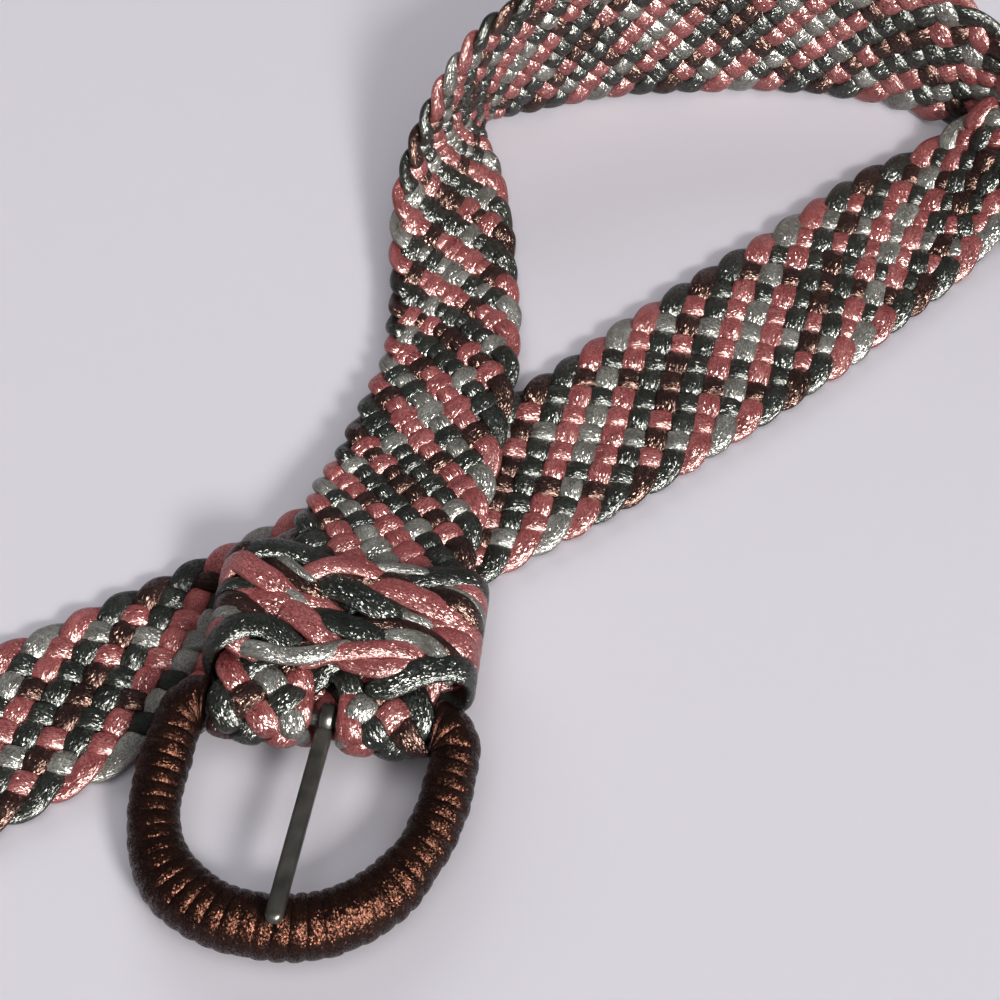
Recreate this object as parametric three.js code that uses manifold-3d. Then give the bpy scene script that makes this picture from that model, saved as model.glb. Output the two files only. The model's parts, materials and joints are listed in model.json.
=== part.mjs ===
// Woven belt: a flat braided strap with a cord-wound D buckle, a steel prong and a braided keeper.
// The belt lies on a table in an open loop: buckle in front, standing on edge at the back, and its
// free end passing under the strap behind the buckle. Millimetres, +Z up, table at z = 0.
import * as THREE from 'three';
import { mergeVertices } from 'three/addons/utils/BufferGeometryUtils.js';
import Module from 'manifold-3d';

// Driving sizes of the strap
const STRAP_THICKNESS = 5.5;
const LOOP_DEPTH = 1.4; // how far the cord loops scallop each edge
const ROW_STEP = 0.5; // rows of the braid between two sections of the solid
const TIP_START = 84.5; // row where the tip starts to round off
const TIP_ROWS = 3.0; // rows that the rounded tip takes
const TIP_LEAST = 0.22; // width left at the very end of the tip, as a share
const TIP_STEPS = 8;

// Driving sizes of the buckle
const BAR_RADIUS = 2.0;
const FRAME_RADIUS = 3.3; // steel core of the ring's three wound sides
const WRAP_RADIUS = 6.2; // over the winding, on the arms
const WRAP_FRONT_RADIUS = 7.6; // over the winding, at the front
const WRAP_SWELL = { start: 28, end: 48 }; // it thickens between these distances from the bar
const WRAP_END_HEIGHT = 6.8; // of the winding's two ends on the bar, above its middle
const WRAP_END_WIDTH = 7.25; // half of their width along the strap
const WRAP_END = 27.3; // from the middle of the bar to each end of the winding
const WRAP_PIVOT = -6.5; // the winding turns each corner about its inner side, this far forward
const WRAP_ARM_WIDTH = 5.95; // half of its width where it leaves the corner
const GAP = 0.3; // clearance between the core and its winding
const RING_HALF_WIDTH = 33; // middle of the bar to the middle of an arm
const RING_DEPTH = 52.4; // bar to the middle of the front
const RING_ARM = 14; // straight stretch of each arm, from the bar
const RING_CORNER = 6; // radius where an arm turns into the bar
const RING_SQUARENESS = 2.3; // exponent of the front curve, 2 is an ellipse
const RING_SKEW = 4.5; // the hand-bent front leans this far to the left
const RING_CORNER_STEPS = 6;
const RING_FRONT_STEPS = 26;
const FRAME_SIDES = 10;
const WRAP_SIDES = 14;

// Place of the buckle, in the plane of the table
const BAR_CENTRE = new THREE.Vector3(-39.3, -79, 13.8);
const BUCKLE_TURN = THREE.MathUtils.degToRad(-4);

// Fold of the strap round the bar
const FOLD_CLEARANCE = 0.4;
const FOLD_HALF_WIDTH = 26.2;
const FOLD_SHIFT = 0.2; // middle of the fold, along the bar
const FOLD_PITCH = 10; // strap length of one row in the fold
const TAIL_LENGTH = 25;
const TAIL_RISE = 3.3; // the tail climbs on to the keeper
const TAIL_RISE_LENGTH = 8;

// Prong and its slot through the fold
const PRONG_RADIUS = 2.05;
const PRONG_OFFSET = 1.8; // along the bar, from its middle
const PRONG_SKEW = 3.1; // the tip lies this far to the left of the eye
const PRONG_REACH = 54.4; // bar to the middle of the rounded tip
const PRONG_ROOT = 3; // the pin starts inside the wall of the eye, this far from the bar's axis
const PRONG_LIFT = 3.85; // the tip rests on the winding, this much above the bar
const EYE_RADIUS = 3.9;
const EYE_WIDTH = 3.6;
const PRONG_SIDES = 12;
const EYE_SIDES = 20;
const EYE_CLEARANCE = 0.35;
const SLOT = { halfWidth: 2.9, front: -12, back: 7.4, below: 4.5, above: 14 };

// Keeper loop, in the buckle's frame
const KEEPER = { front: 8.6, back: 41, left: -30.7, right: 36.2, bottom: -8, top: 11.8 };
const KEEPER_BOTTOM_THICKNESS = 3.0;
const KEEPER_TOP_THICKNESS = 4.0;
const KEEPER_SIDE_THICKNESS = 4.6;
const KEEPER_CORNER = 7;
const KEEPER_CORNER_STEPS = 5;
const KEEPER_ROUNDING = 1.2; // of the band's own edges

// Stations of the strap. A row is one edge loop of the braid, counted from the top of the bar.
// inner is the strap's edge on the inside of the big loop, outer is its other edge.
const STATIONS = [
  { row: 2, inner: [-9.5, -61, 17.8], outer: [-63, -57.5, 17.8] },
  { row: 4, inner: [-6, -42, 17.65], outer: [-58.5, -39, 17.65] },
  { row: 6, inner: [-3.5, -24, 14], outer: [-51, -20, 14.5] },
  { row: 8, inner: [-1, -5, 10.8], outer: [-48.5, -7.5, 11.2] },
  { row: 10, inner: [1, 15, 9.6], outer: [-43.5, 4, 10] },
  { row: 12, inner: [3, 38, 9.0], outer: [-38.5, 22, 8] },
  { row: 14, inner: [2.5, 61, 5.2], outer: [-34.5, 37, 7] },
  { row: 16, inner: [0.5, 81, 3.0], outer: [-33.5, 49, 7.5] },
  { row: 18, inner: [-2, 102, 2.7], outer: [-33, 63, 9] },
  { row: 20, inner: [-6, 122, 2.6], outer: [-34, 80, 12] },
  { row: 22, inner: [-10.2, 133, 2.4], outer: [-33, 97, 19] },
  { row: 24, inner: [-12, 138.5, 1.8], outer: [-28, 108, 30] },
  { row: 26, inner: [-10.5, 142.5, 1.0], outer: [-21, 117, 42] },
  { row: 28, inner: [-5, 144.5, 0.2], outer: [-12, 127, 51] },
  { row: 30, inner: [8, 149, 0], outer: [0, 138, 53.5] },
  { row: 33, inner: [27, 155, 0], outer: [20, 150, 54] },
  { row: 36, inner: [48, 159, 0], outer: [42, 157, 54] },
  { row: 39, inner: [71, 161.5, 0], outer: [66, 161, 54] },
  { row: 42, inner: [94, 161, 0], outer: [90, 161, 54] },
  { row: 44, inner: [110, 158, 0.1], outer: [108, 157, 53.5] },
  { row: 45, inner: [119, 154.5, 0.2], outer: [120, 155.5, 49] },
  { row: 46, inner: [127.5, 151.5, 0.5], outer: [131, 152, 42] },
  { row: 47, inner: [137, 150.5, 2], outer: [141.5, 142, 33] },
  { row: 48, inner: [142.5, 149, 11], outer: [147, 123, 19] },
  { row: 49, inner: [136, 145, 18.5], outer: [141.5, 103.5, 6.5] },
  { row: 50, inner: [128.4, 143.5, 11], outer: [132.5, 95.5, 3.6] },
  { row: 51, inner: [121.5, 140.5, 6], outer: [125.5, 86, 2.75] },
  { row: 53, inner: [103.4, 129.8, 2.75], outer: [113.1, 72.2, 2.75] },
  { row: 57, inner: [70.7, 99.8, 2.75], outer: [90.2, 47.1, 2.75] },
  { row: 61, inner: [37.6, 70.2, 2.75], outer: [64.9, 23.9, 2.75] },
  { row: 65, inner: [8.5, 41.2, 2.75], outer: [36.8, -0.2, 2.75] },
  { row: 70, inner: [-30.5, 8.6, 2.75], outer: [-0.6, -28.1, 2.75] },
  { row: 77, inner: [-84.4, -32.8, 2.75], outer: [-59.4, -71.9, 2.75] },
  { row: 81, inner: [-117.4, -54.3, 2.75], outer: [-95.1, -97.3, 2.75] },
  { row: 88, inner: [-176.4, -90.3, 2.75], outer: [-152.1, -137.8, 2.75] },
];

const UP = new THREE.Vector3(0, 0, 1);
const BAR_DIRECTION = new THREE.Vector3(1, 0, 0).applyAxisAngle(UP, BUCKLE_TURN);
const BUCKLE_BACK = new THREE.Vector3(0, 1, 0).applyAxisAngle(UP, BUCKLE_TURN);
const HALF_THICKNESS = STRAP_THICKNESS / 2;
const FOLD_RADIUS = BAR_RADIUS + FOLD_CLEARANCE + HALF_THICKNESS;

function smooth(share) {
  const s = THREE.MathUtils.clamp(share, 0, 1);
  return s * s * (3 - 2 * s);
}

// A point of the buckle's own frame: x along the bar, y towards the strap, z up from the bar.
function buckleToTable(x, y, z) {
  return BAR_CENTRE.clone()
    .addScaledVector(BAR_DIRECTION, x)
    .addScaledVector(BUCKLE_BACK, y)
    .addScaledVector(UP, z);
}

// Closed body from equal rings of points. Its ends are capped, or joined when it is a loop.
function bodyFromRings(rings, isLoop) {
  const sides = rings[0].length;
  const positions = [];
  const indices = [];
  for (const ring of rings) {
    for (const point of ring) positions.push(point.x, point.y, point.z);
  }
  const spans = isLoop ? rings.length : rings.length - 1;
  for (let i = 0; i < spans; i++) {
    const here = i * sides;
    const next = ((i + 1) % rings.length) * sides;
    for (let k = 0; k < sides; k++) {
      const l = (k + 1) % sides;
      indices.push(here + k, here + l, next + l, here + k, next + l, next + k);
    }
  }
  if (!isLoop) {
    const last = (rings.length - 1) * sides;
    for (let k = 1; k < sides - 1; k++) {
      indices.push(0, k + 1, k, last, last + k, last + k + 1);
    }
  }
  if (signedVolume(positions, indices) < 0) indices.reverse();
  const geometry = new THREE.BufferGeometry();
  geometry.setAttribute('position', new THREE.Float32BufferAttribute(positions, 3));
  geometry.setIndex(indices);
  return geometry;
}

function signedVolume(positions, indices) {
  const corners = [new THREE.Vector3(), new THREE.Vector3(), new THREE.Vector3()];
  let volume = 0;
  for (let i = 0; i < indices.length; i += 3) {
    corners.forEach((corner, k) => corner.fromArray(positions, 3 * indices[i + k]));
    volume += corners[0].dot(corners[1].clone().cross(corners[2])) / 6;
  }
  return volume;
}

// Ellipse of points round a centre, in the plane of two unit vectors.
function ellipse(centre, across, upward, halfWidth, halfHeight, sides) {
  const points = [];
  for (let k = 0; k < sides; k++) {
    const angle = (2 * Math.PI * (k + 0.5)) / sides;
    points.push(
      centre.clone()
        .addScaledVector(across, halfWidth * Math.cos(angle))
        .addScaledVector(upward, halfHeight * Math.sin(angle)),
    );
  }
  return points;
}

// Edges of the strap at a row of the fold or the tail, where row is negative or small.
function foldEdges(row) {
  const distance = -row * FOLD_PITCH;
  const halfTurn = Math.PI * FOLD_RADIUS;
  let y;
  let z;
  if (distance < 0) {
    y = -distance;
    z = FOLD_RADIUS;
  } else if (distance < halfTurn) {
    const angle = distance / FOLD_RADIUS;
    y = -FOLD_RADIUS * Math.sin(angle);
    z = FOLD_RADIUS * Math.cos(angle);
  } else {
    y = distance - halfTurn;
    z = -FOLD_RADIUS + TAIL_RISE * smooth(y / TAIL_RISE_LENGTH);
  }
  return {
    inner: buckleToTable(FOLD_SHIFT + FOLD_HALF_WIDTH, y, z),
    outer: buckleToTable(FOLD_SHIFT - FOLD_HALF_WIDTH, y, z),
  };
}

const FIRST_ROW = -(Math.PI * FOLD_RADIUS + TAIL_LENGTH) / FOLD_PITCH;
const FOLD_STATION = { row: 0, ...foldEdges(0) };
const PATH = [
  FOLD_STATION,
  ...STATIONS.map((station) => ({
    row: station.row,
    inner: new THREE.Vector3(...station.inner),
    outer: new THREE.Vector3(...station.outer),
  })),
];

// Slope of a height, held back so that the strap never dips between two stations.
function levelSlope(slope, before, after) {
  if (before * after <= 0) return 0;
  const limit = 3 * Math.min(Math.abs(before), Math.abs(after));
  return THREE.MathUtils.clamp(slope, -limit, limit);
}

// Slope of an edge at a station: that of the parabola through it and its two neighbours.
function slopeAt(index, edge) {
  if (index === 0) return BUCKLE_BACK.clone().multiplyScalar(FOLD_PITCH);
  const here = PATH[index];
  const before = PATH[index - 1];
  const stepBefore = here.row - before.row;
  const risingBefore = here[edge].clone().sub(before[edge]).divideScalar(stepBefore);
  if (index === PATH.length - 1) return risingBefore;
  const after = PATH[index + 1];
  const stepAfter = after.row - here.row;
  const risingAfter = after[edge].clone().sub(here[edge]).divideScalar(stepAfter);
  const slope = risingBefore.clone().multiplyScalar(stepAfter)
    .addScaledVector(risingAfter, stepBefore)
    .divideScalar(stepBefore + stepAfter);
  slope.z = levelSlope(slope.z, risingBefore.z, risingAfter.z);
  return slope;
}

// Point of one edge at a row, on a cubic between the two nearest stations.
function edgePoint(row, edge) {
  if (row <= 0) return foldEdges(row)[edge];
  let index = 0;
  while (index < PATH.length - 2 && PATH[index + 1].row < row) index++;
  const from = PATH[index];
  const to = PATH[index + 1];
  const step = to.row - from.row;
  const t = (row - from.row) / step;
  const startWeight = (1 + 2 * t) * (1 - t) ** 2;
  const startSlope = t * (1 - t) ** 2 * step;
  const endSlope = t * t * (t - 1) * step;
  return from[edge].clone().multiplyScalar(startWeight)
    .addScaledVector(slopeAt(index, edge), startSlope)
    .addScaledVector(to[edge], 1 - startWeight)
    .addScaledVector(slopeAt(index + 1, edge), endSlope);
}

function strapMiddle(row) {
  return edgePoint(row, 'inner').add(edgePoint(row, 'outer')).multiplyScalar(0.5);
}

// Width of the strap at a row, as a share: whole, or rounding off at the tip.
function tipShare(row) {
  const past = THREE.MathUtils.clamp((row - TIP_START) / TIP_ROWS, 0, 1);
  return Math.max(TIP_LEAST, Math.sqrt(1 - past * past));
}

// Section of the strap: flat faces, half-round edges, scalloped by the cord loops.
const EDGE_ANGLES = [90, 45, 0, -45, -90].map(THREE.MathUtils.degToRad);

function strapSection(row) {
  const nearby = 0.01;
  const along = strapMiddle(row + nearby).sub(strapMiddle(row - nearby)).normalize();
  const middle = strapMiddle(row);
  const across = edgePoint(row, 'outer').sub(edgePoint(row, 'inner'));
  const scallop = (LOOP_DEPTH * (1 - Math.cos(2 * Math.PI * row))) / 2;
  const halfWidth = (across.length() / 2 - scallop) * tipShare(row);
  across.normalize();
  const normal = along.clone().cross(across).normalize();
  const straight = halfWidth - HALF_THICKNESS;
  const ring = [];
  for (const side of [1, -1]) {
    for (const angle of EDGE_ANGLES) {
      ring.push(
        middle.clone()
          .addScaledVector(across, side * (straight + HALF_THICKNESS * Math.cos(angle)))
          .addScaledVector(normal, side * HALF_THICKNESS * Math.sin(angle)),
      );
    }
  }
  return ring;
}

function strapRows() {
  const rows = [];
  const foldStep = ROW_STEP / 2;
  const foldRows = Math.ceil(-FIRST_ROW / foldStep);
  for (let i = 0; i < foldRows; i++) rows.push(FIRST_ROW * (1 - i / foldRows));
  const steps = Math.round(TIP_START / ROW_STEP);
  for (let i = 0; i < steps; i++) rows.push(i * ROW_STEP);
  for (let i = 0; i <= TIP_STEPS; i++) {
    rows.push(TIP_START + TIP_ROWS * Math.sin((Math.PI / 2) * (i / TIP_STEPS)));
  }
  return rows;
}

function strapGeometry(manifold) {
  const strap = manifold.solid(bodyFromRings(strapRows().map(strapSection), false));
  const slot = new THREE.BoxGeometry(
    2 * SLOT.halfWidth,
    SLOT.back - SLOT.front,
    SLOT.above + SLOT.below,
  );
  slot.rotateZ(BUCKLE_TURN);
  const middle = buckleToTable(
    PRONG_OFFSET,
    (SLOT.front + SLOT.back) / 2,
    (SLOT.above - SLOT.below) / 2,
  );
  slot.translate(middle.x, middle.y, middle.z);
  return manifold.geometry(strap.subtract(manifold.solid(slot)));
}

// Centre line of the ring in its own plane, from the bar's right end round the front to its left
// end, as pairs of x along the bar and y towards the strap.
function ringOutline() {
  const points = [];
  for (let i = 0; i <= RING_CORNER_STEPS; i++) {
    const angle = (Math.PI / 2) * (i / RING_CORNER_STEPS);
    points.push([
      RING_HALF_WIDTH - RING_CORNER + RING_CORNER * Math.sin(angle),
      -RING_CORNER + RING_CORNER * Math.cos(angle),
    ]);
  }
  const power = 2 / RING_SQUARENESS;
  for (let i = 0; i <= RING_FRONT_STEPS; i++) {
    const angle = Math.PI * (i / RING_FRONT_STEPS);
    const cosine = Math.cos(angle);
    points.push([
      RING_HALF_WIDTH * Math.sign(cosine) * Math.abs(cosine) ** power,
      -RING_ARM - (RING_DEPTH - RING_ARM) * Math.sin(angle) ** power,
    ]);
  }
  for (let i = 0; i <= RING_CORNER_STEPS; i++) {
    const [x, y] = points[RING_CORNER_STEPS - i];
    points.push([-x, y]);
  }
  return points;
}

// The ring slopes from the bar down to the table, where its winding rests.
const RING_SLOPE = (BAR_CENTRE.z - WRAP_FRONT_RADIUS) / RING_DEPTH;
const RING_ANGLE = Math.asin(RING_SLOPE);

function ringPoint([x, y]) {
  const skewed = x - RING_SKEW * smooth(-y / RING_DEPTH);
  return buckleToTable(skewed, y * Math.cos(RING_ANGLE), y * Math.sin(RING_ANGLE));
}

const RING_NORMAL = UP.clone().applyAxisAngle(BAR_DIRECTION, RING_ANGLE);

function ringSections(outline, radii, sides, isLoop) {
  const centres = outline.map(ringPoint);
  return centres.map((centre, i) => {
    const count = centres.length;
    const before = isLoop ? centres[(i + count - 1) % count] : centres[Math.max(i - 1, 0)];
    const after = isLoop ? centres[(i + 1) % count] : centres[Math.min(i + 1, count - 1)];
    const along = after.clone().sub(before).normalize();
    const across = along.cross(RING_NORMAL).normalize();
    return ellipse(centre, across, RING_NORMAL, radii[i], radii[i], sides);
  });
}

// How far round the corner from the bar on to the arm: 0 on the bar and 1 from the arm on.
function armShare([, y]) {
  return smooth(-y / RING_CORNER);
}

function frameGeometry() {
  const outline = ringOutline();
  const barHalf = RING_HALF_WIDTH - RING_CORNER;
  const barPoints = [-0.6, -0.2, 0.2, 0.6].map((share) => [share * barHalf, 0]);
  const loop = [...outline, ...barPoints];
  const radii = loop.map((point) => THREE.MathUtils.lerp(BAR_RADIUS, FRAME_RADIUS, armShare(point)));
  return bodyFromRings(ringSections(loop, radii, FRAME_SIDES, true), true);
}

// Sections of the winding round one corner, from its end on the bar to the arm. They turn about
// the corner's inner side, so that the cord is bunched there and spread on the outside.
function wrapCorner(side) {
  const sections = [];
  for (let i = 0; i <= RING_CORNER_STEPS; i++) {
    const share = i / RING_CORNER_STEPS;
    const angle = (Math.PI / 2) * share;
    const outward = [side * Math.sin(angle), Math.cos(angle)];
    const halfWidth = THREE.MathUtils.lerp(WRAP_END_WIDTH, WRAP_ARM_WIDTH, smooth(share));
    const halfHeight = THREE.MathUtils.lerp(WRAP_END_HEIGHT, WRAP_RADIUS, smooth(share));
    const placeAt = (distance) => ringPoint([
      side * WRAP_END + outward[0] * distance,
      WRAP_PIVOT + outward[1] * distance,
    ]);
    const centre = placeAt(halfWidth);
    const inward = placeAt(0).sub(centre).normalize();
    sections.push(ellipse(centre, inward, RING_NORMAL, halfWidth, halfHeight, WRAP_SIDES));
  }
  return sections;
}

function wrapRadius([, y]) {
  const share = smooth((-y - WRAP_SWELL.start) / (WRAP_SWELL.end - WRAP_SWELL.start));
  return THREE.MathUtils.lerp(WRAP_RADIUS, WRAP_FRONT_RADIUS, share);
}

function wrapGeometry() {
  const outline = ringOutline();
  const arms = outline.filter(([, y]) => y < -RING_CORNER);
  const outerRings = [
    ...wrapCorner(1),
    ...ringSections(arms, arms.map(wrapRadius), WRAP_SIDES, false),
    ...wrapCorner(-1).reverse(),
  ];
  outline[0][0] = WRAP_END;
  outline[outline.length - 1][0] = -WRAP_END;
  const hole = outline.map((point) => GAP
    + THREE.MathUtils.lerp(BAR_RADIUS, FRAME_RADIUS, armShare(point)));
  const innerRings = ringSections(outline, hole, WRAP_SIDES, false).reverse();
  return bodyFromRings([...outerRings, ...innerRings], true);
}

// Prong: a straight pin with a rounded tip, joined to a flat eye that turns on the bar.
function prongGeometry(manifold) {
  const lift = Math.atan2(PRONG_LIFT, PRONG_REACH);
  const turn = Math.atan2(PRONG_SKEW, PRONG_REACH);
  const along = new THREE.Vector3(0, -1, 0).applyAxisAngle(new THREE.Vector3(1, 0, 0), -lift)
    .applyAxisAngle(UP, BUCKLE_TURN - turn);
  const upward = BAR_DIRECTION.clone().cross(along).normalize();
  const across = along.clone().cross(upward).normalize();
  const start = buckleToTable(PRONG_OFFSET, 0, 0).addScaledVector(along, PRONG_ROOT);
  const length = PRONG_REACH - PRONG_ROOT;
  const ringAt = (distance, radius) => ellipse(
    start.clone().addScaledVector(along, distance),
    across,
    upward,
    radius,
    radius,
    PRONG_SIDES,
  );
  const rings = [ringAt(0, PRONG_RADIUS), ringAt(length, PRONG_RADIUS)];
  for (const degrees of [30, 55, 75]) {
    const angle = THREE.MathUtils.degToRad(degrees);
    rings.push(ringAt(length + PRONG_RADIUS * Math.sin(angle), PRONG_RADIUS * Math.cos(angle)));
  }
  const pin = manifold.solid(bodyFromRings(rings, false));

  const innerRadius = BAR_RADIUS + EYE_CLEARANCE;
  const eyeProfile = [
    [innerRadius, -EYE_WIDTH / 2],
    [EYE_RADIUS, -EYE_WIDTH / 2],
    [EYE_RADIUS, EYE_WIDTH / 2],
    [innerRadius, EYE_WIDTH / 2],
  ];
  const eyeRings = [];
  for (let k = 0; k < EYE_SIDES; k++) {
    const angle = (2 * Math.PI * k) / EYE_SIDES;
    eyeRings.push(eyeProfile.map(([radius, x]) => buckleToTable(
      PRONG_OFFSET + x,
      radius * Math.cos(angle),
      radius * Math.sin(angle),
    )));
  }
  const eye = manifold.solid(bodyFromRings(eyeRings, true));
  return manifold.geometry(pin.add(eye));
}

// Keeper: a closed band round the strap and its tail. Its wall is thinner where it lies below.
function keeperGeometry() {
  const middleX = (KEEPER.left + KEEPER.right) / 2;
  const middleZ = (KEEPER.bottom + KEEPER.top) / 2;
  const halfX = (KEEPER.right - KEEPER.left) / 2;
  const halfZ = (KEEPER.top - KEEPER.bottom) / 2;
  const outline = [];
  for (let quarter = 0; quarter < 4; quarter++) {
    for (let i = 0; i <= KEEPER_CORNER_STEPS; i++) {
      const angle = (Math.PI / 2) * (quarter + i / KEEPER_CORNER_STEPS);
      const signX = quarter === 0 || quarter === 3 ? 1 : -1;
      const signZ = quarter < 2 ? 1 : -1;
      outline.push({
        x: signX * (halfX - KEEPER_CORNER) + KEEPER_CORNER * Math.cos(angle),
        z: signZ * (halfZ - KEEPER_CORNER) + KEEPER_CORNER * Math.sin(angle),
        angle,
      });
    }
  }
  const rings = outline.map(({ x, z, angle }) => {
    const flatWall = Math.sin(angle) > 0 ? KEEPER_TOP_THICKNESS : KEEPER_BOTTOM_THICKNESS;
    const wall = THREE.MathUtils.lerp(KEEPER_SIDE_THICKNESS, flatWall, Math.sin(angle) ** 2);
    const place = (depth, y) => buckleToTable(
      middleX + x - depth * Math.cos(angle),
      y,
      middleZ + z - depth * Math.sin(angle),
    );
    return [
      place(KEEPER_ROUNDING, KEEPER.front),
      place(0, KEEPER.front + KEEPER_ROUNDING),
      place(0, KEEPER.back - KEEPER_ROUNDING),
      place(KEEPER_ROUNDING, KEEPER.back),
      place(wall - KEEPER_ROUNDING, KEEPER.back),
      place(wall, KEEPER.back - KEEPER_ROUNDING),
      place(wall, KEEPER.front + KEEPER_ROUNDING),
      place(wall - KEEPER_ROUNDING, KEEPER.front),
    ];
  });
  return bodyFromRings(rings, true);
}

// Joins and cuts of closed meshes.
async function loadManifold() {
  const wasm = await Module();
  wasm.setup();
  return {
    solid(geometry) {
      const bare = geometry.clone();
      bare.deleteAttribute('normal');
      bare.deleteAttribute('uv');
      const merged = mergeVertices(bare, 1e-4);
      return new wasm.Manifold(new wasm.Mesh({
        numProp: 3,
        vertProperties: new Float32Array(merged.attributes.position.array),
        triVerts: new Uint32Array(merged.index.array),
      }));
    },
    geometry(solid) {
      const mesh = solid.getMesh();
      const geometry = new THREE.BufferGeometry();
      geometry.setAttribute('position', new THREE.BufferAttribute(mesh.vertProperties, 3));
      geometry.setIndex(new THREE.BufferAttribute(mesh.triVerts, 1));
      return geometry;
    },
  };
}

const finishes = {
  braid: new THREE.MeshStandardMaterial({ color: 0x8a5a55, roughness: 0.5, metalness: 0 }),
  winding: new THREE.MeshStandardMaterial({ color: 0x2c1c1c, roughness: 0.45, metalness: 0 }),
  steel: new THREE.MeshStandardMaterial({ color: 0x55504c, roughness: 0.35, metalness: 1 }),
};

function piece(name, geometry, material) {
  geometry.computeVertexNormals();
  const mesh = new THREE.Mesh(geometry, material);
  mesh.name = name;
  return mesh;
}

const manifold = await loadManifold();

const buckle = new THREE.Group();
buckle.add(piece('buckle_frame', frameGeometry(), finishes.steel.clone()));
buckle.add(piece('buckle_wrap', wrapGeometry(), finishes.winding.clone()));
buckle.add(piece('prong', prongGeometry(manifold), finishes.steel.clone()));

const belt = new THREE.Group();
belt.add(piece('strap', strapGeometry(manifold), finishes.braid.clone()));
belt.add(piece('keeper', keeperGeometry(), finishes.braid.clone()));
belt.add(buckle);

// The origin is the middle of the belt's footprint, on the table.
const box = new THREE.Box3().setFromObject(belt);
belt.position.set(-(box.min.x + box.max.x) / 2, -(box.min.y + box.max.y) / 2, -box.min.z);

const group = new THREE.Group();
group.add(belt);
export default group;
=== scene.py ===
import json
import math
import random

import bpy
import numpy as np
from mathutils import Matrix, Vector


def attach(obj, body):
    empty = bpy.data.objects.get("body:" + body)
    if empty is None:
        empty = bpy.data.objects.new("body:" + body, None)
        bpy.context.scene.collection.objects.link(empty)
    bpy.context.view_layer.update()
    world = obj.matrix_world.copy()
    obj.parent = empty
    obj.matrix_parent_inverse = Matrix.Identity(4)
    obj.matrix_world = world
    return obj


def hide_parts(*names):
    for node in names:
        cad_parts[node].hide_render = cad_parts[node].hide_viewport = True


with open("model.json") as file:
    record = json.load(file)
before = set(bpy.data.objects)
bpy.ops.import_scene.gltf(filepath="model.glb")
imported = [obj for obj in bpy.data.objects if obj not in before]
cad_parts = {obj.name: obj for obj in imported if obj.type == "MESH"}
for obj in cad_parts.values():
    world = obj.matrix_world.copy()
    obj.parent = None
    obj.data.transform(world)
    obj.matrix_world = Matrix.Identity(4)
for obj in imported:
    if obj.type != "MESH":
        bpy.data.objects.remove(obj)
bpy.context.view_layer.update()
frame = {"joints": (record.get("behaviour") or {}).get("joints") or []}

random.seed(7)

# Looks of a woven belt: the twelve cords of its braid, the cords of its keeper, the winding of its
# buckle ring and the steel prong. Every size below is in millimetres, in the layout of the part:
# x to the right, y to the back, z up from the table, with its zero under the middle of the view.
MM = 0.001

# Place of the buckle's bar
BAR_CENTRE = np.array([-39.3, -79.0, 13.8])
BUCKLE_TURN = math.radians(-4)
BAR_DIRECTION = np.array([math.cos(BUCKLE_TURN), math.sin(BUCKLE_TURN), 0.0])
BUCKLE_BACK = np.array([-math.sin(BUCKLE_TURN), math.cos(BUCKLE_TURN), 0.0])
UP = np.array([0.0, 0.0, 1.0])
BAR_RADIUS = 2.0

# The layout's zero in the frame, in metres, from the joint that lies on the bar
LAYOUT_ZERO = np.array(frame["joints"][0]["pos_m"]) - BAR_CENTRE * MM


def to_frame(points):
    return np.asarray(points) * MM + LAYOUT_ZERO


def buckle_to_table(x, y, z):
    """Points of the buckle's own frame: x along the bar, y towards the strap, z up from the bar."""
    x, y, z = (np.asarray(v, float)[..., None] for v in (x, y, z))
    return BAR_CENTRE + x * BAR_DIRECTION + y * BUCKLE_BACK + z * UP


# Curves

TINY = 1e-9 # least length that a vector is divided by


def smooth(share):
    """A share from 0 to 1 that starts and stops softly."""
    s = np.clip(share, 0, 1)
    return s * s * (3 - 2 * s)


def bell(values, centre, reach):
    """1 at the centre, and next to nothing past twice the reach."""
    return np.exp(-((values - centre) / reach) ** 2)


def squared(values, squareness):
    """A sine or cosine pushed outwards, so that the circle it draws turns into a rounded square."""
    return np.sign(values) * abs(values) ** (2 / squareness)


def unit(vectors):
    return vectors / np.maximum(np.linalg.norm(vectors, axis=-1, keepdims=True), TINY)


def way_along(points):
    """Distance of each point from the first one, along the line through them."""
    return np.concatenate([[0], np.cumsum(np.linalg.norm(np.diff(points, axis=0), axis=1))])


def cubic(known, points, slopes, at):
    """Points at places on the smooth curve through points with slopes at the known places."""
    i = np.clip(np.searchsorted(known, at, side="right") - 1, 0, len(known) - 2)
    step = (known[i + 1] - known[i])[:, None]
    t = (at - known[i])[:, None] / step
    start = (1 + 2 * t) * (1 - t) ** 2
    return (
        start * points[i]
        + t * (1 - t) ** 2 * step * slopes[i]
        + (1 - start) * points[i + 1]
        + t * t * (t - 1) * step * slopes[i + 1]
    )


# Meshes

CORD_SIDES = 12
CORD_SQUARENESS = 2.3
CORD_DOME = ((0.35, -0.9), (0.8, -0.45)) # of a cord's end: share of its width, place in half thicknesses


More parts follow.
